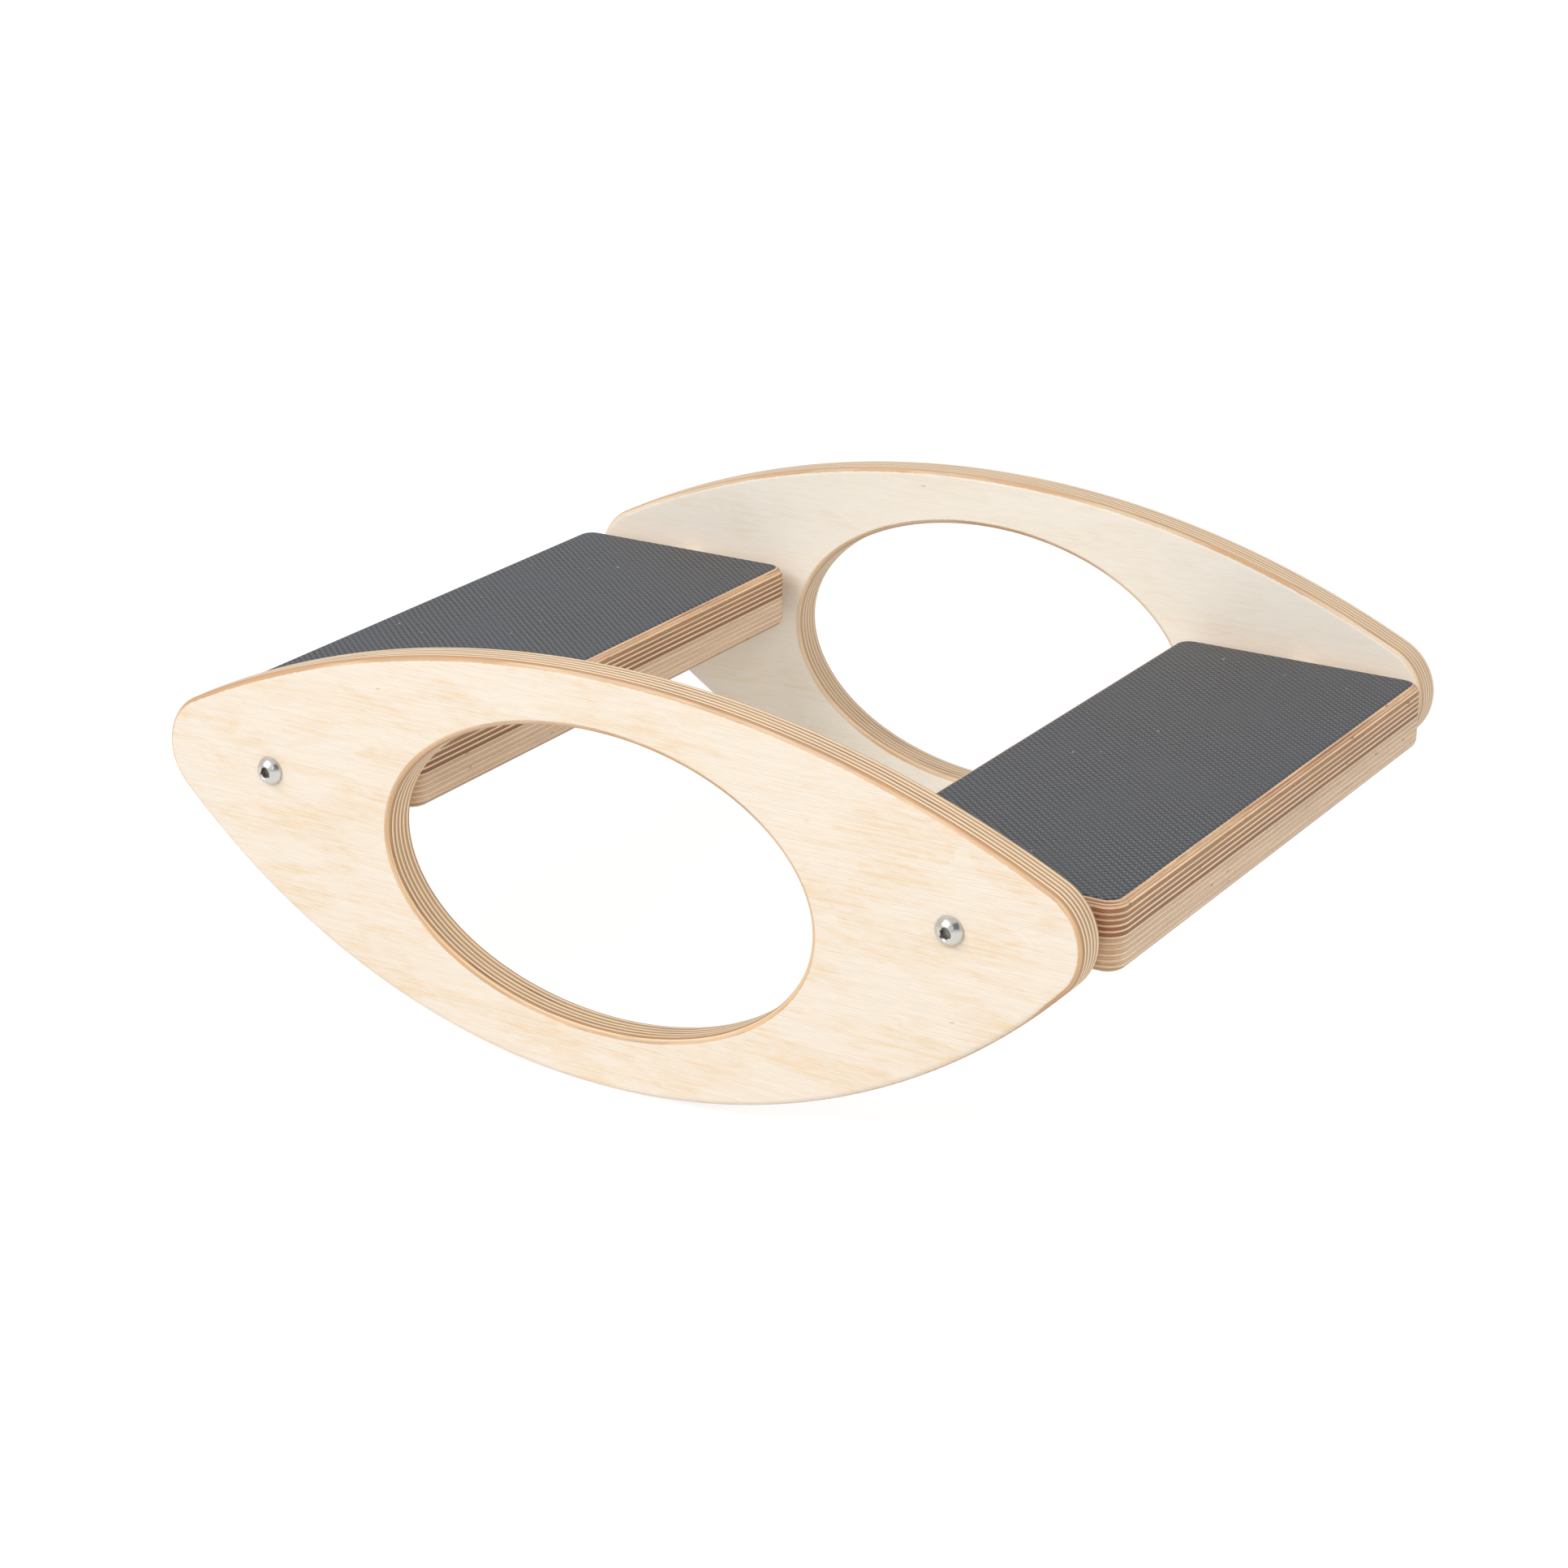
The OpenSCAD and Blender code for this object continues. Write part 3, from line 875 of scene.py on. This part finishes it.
def studio_floor():
    """A pale floor. The camera sees a glow and a faint matt floor, whose sum is white where no
    shadow falls. The light that falls on the rocker comes from a plain matt floor."""
    mesh = bpy.data.meshes.new("floor")
    bm = bmesh.new()
    bmesh.ops.create_grid(bm, x_segments=1, y_segments=1, size=FLOOR_HALF_WIDTH)
    bm.to_mesh(mesh)
    bm.free()
    floor = bpy.data.objects.new("studio_floor", mesh)
    bpy.context.scene.collection.objects.link(floor)
    paint = Finish("floor_paint")
    matt = paint.node("ShaderNodeBsdfDiffuse", None, {"Color": (0.82, 0.82, 0.81)})
    faint = paint.node("ShaderNodeBsdfDiffuse", None, {"Color": (0.30, 0.30, 0.30)})
    glow = paint.node("ShaderNodeEmission", None, {"Color": WHITE, "Strength": FLOOR_GLOW})
    white = paint.node("ShaderNodeAddShader", None, {0: glow, 1: faint})
    parts = {0: seen_directly(paint.tree), 1: matt, 2: white}
    shader = paint.node("ShaderNodeMixShader", None, parts)
    output = paint.tree.nodes.new("ShaderNodeOutputMaterial")
    paint.tree.links.new(shader.socket, output.inputs["Surface"])
    mesh.materials.append(paint.material)


def studio_world():
    """A world that is white to the camera and lights the rocker more weakly."""
    world = bpy.data.worlds.new("studio_world")
    bpy.context.scene.world = world
    world.use_nodes = True
    tree = world.node_tree
    tree.nodes.clear()
    strength = seen_directly(tree) * (1.0 - WORLD_LIGHT) + WORLD_LIGHT
    back = tree.nodes.new("ShaderNodeBackground")
    plug(tree, back.inputs["Strength"], strength)
    output = tree.nodes.new("ShaderNodeOutputWorld")
    tree.links.new(back.outputs[0], output.inputs["Surface"])


def softbox(name, place, size, watts):
    """A rectangular lamp that shines on the rocker."""
    lamp = bpy.data.lights.new(name, "AREA")
    lamp.shape = "RECTANGLE"
    lamp.size, lamp.size_y = size
    lamp.energy = watts
    made = bpy.data.objects.new(name, lamp)
    made.location = place
    made.rotation_mode = "QUATERNION"
    made.rotation_quaternion = (Vector(ROCKER_MIDDLE) - Vector(place)).to_track_quat("-Z", "Y")
    bpy.context.scene.collection.objects.link(made)


def flag(name, place, aim, size):
    """A dark card beside the camera, which only polished metal shows."""
    mesh = bpy.data.meshes.new(name)
    bm = bmesh.new()
    bmesh.ops.create_grid(bm, x_segments=1, y_segments=1, size=0.5)
    turn = (Vector(aim) - Vector(place)).to_track_quat("-Z", "Y").to_matrix().to_4x4()
    moved(bm, Matrix.Translation(place) @ turn @ Matrix.Diagonal((*size, 1.0, 1.0)))
    bm.to_mesh(mesh)
    bm.free()
    card = bpy.data.objects.new(name, mesh)
    bpy.context.scene.collection.objects.link(card)
    paint = Finish(name)
    mesh.materials.append(paint.surface(Base_Color=(0.03, 0.03, 0.03), Roughness=0.8))
    card.visible_camera = False
    card.visible_diffuse = False
    card.visible_shadow = False


def camera():
    """The photograph's camera. Its shift puts the image's axis where the photograph has it."""
    azimuth, elevation, roll = (
        math.radians(angle) for angle in (CAMERA_AZIMUTH, CAMERA_ELEVATION, CAMERA_ROLL))
    back = Vector((
        math.sin(azimuth) * math.cos(elevation),
        -math.cos(azimuth) * math.cos(elevation),
        math.sin(elevation),
    ))
    data = bpy.data.cameras.new("photo_camera")
    data.sensor_width = SENSOR_WIDTH
    data.lens = IMAGE_FOCUS / IMAGE_WIDTH * SENSOR_WIDTH
    data.shift_x = (IMAGE_WIDTH / 2 - IMAGE_AXIS[0]) / IMAGE_WIDTH
    data.shift_y = (IMAGE_AXIS[1] - IMAGE_WIDTH / 2) / IMAGE_WIDTH
    data.clip_start, data.clip_end = 0.05, 100.0
    made = bpy.data.objects.new("photo_camera", data)
    made.location = Vector(CAMERA_AIM) + back * CAMERA_DISTANCE
    made.rotation_mode = "QUATERNION"
    level = (-back).to_track_quat("-Z", "Y")
    made.rotation_quaternion = level @ Matrix.Rotation(-roll, 3, "Z").to_quaternion()
    bpy.context.scene.collection.objects.link(made)
    bpy.context.scene.camera = made


PANEL_FINISH = {
    "front": panel_birch(
        "birch_panel_front",
        seed=1.7,
        pale=tone(238, 227, 213),
        warm=tone(232, 207, 174),
        skins=(tone(196, 152, 108), tone(222, 184, 142)),
        figure=1.0,
    ),
    "rear": panel_birch(
        "birch_panel_rear",
        seed=6.3,
        pale=tone(247, 240, 228),
        warm=tone(238, 222, 198),
        skins=(tone(216, 186, 150), tone(236, 212, 182)),
        figure=0.6,
    ),
}
BOARD_FINISH = {
    "left": board_birch("birch_board_left", 3.1),
    "right": board_birch("birch_board_right", 8.6),
}
FILM_FINISH = mesh_film("mesh_film")
SCREW_FINISH = polished_steel("polished_steel")
SLEEVE_FINISH = turned_steel("turned_steel")
SPACER_FINISH = nylon("nylon")
INSERT_FINISH = insert_brass("insert_brass")

for end in ENDS:
    side_panel(end)
for side in SIDES:
    footboard(side)
    grip_film(side)
for end in ENDS:
    for side in SIDES:
        pivot_screw(side, end, SOCKET_TURNS[f"{end}_{side}"])
        pivot_spacer(side, end)
        dressed(f"pivot_sleeve_{end}_{side}", SLEEVE_FINISH)
        dressed(f"threaded_insert_{end}_{side}", INSERT_FINISH)

studio_floor()
studio_world()
softbox("key", place=(-1.6, -2.9, 3.0), size=(3.0, 2.4), watts=101.0)
softbox("fill", place=(2.4, -2.4, 2.4), size=(2.0, 2.0), watts=38.0)
flag("dark_flag", place=(2.0, -1.4, 1.75), aim=(0.0, 0.0, 0.12), size=(2.2, 2.2))
camera()
bpy.context.scene.view_settings.view_transform = "Standard"
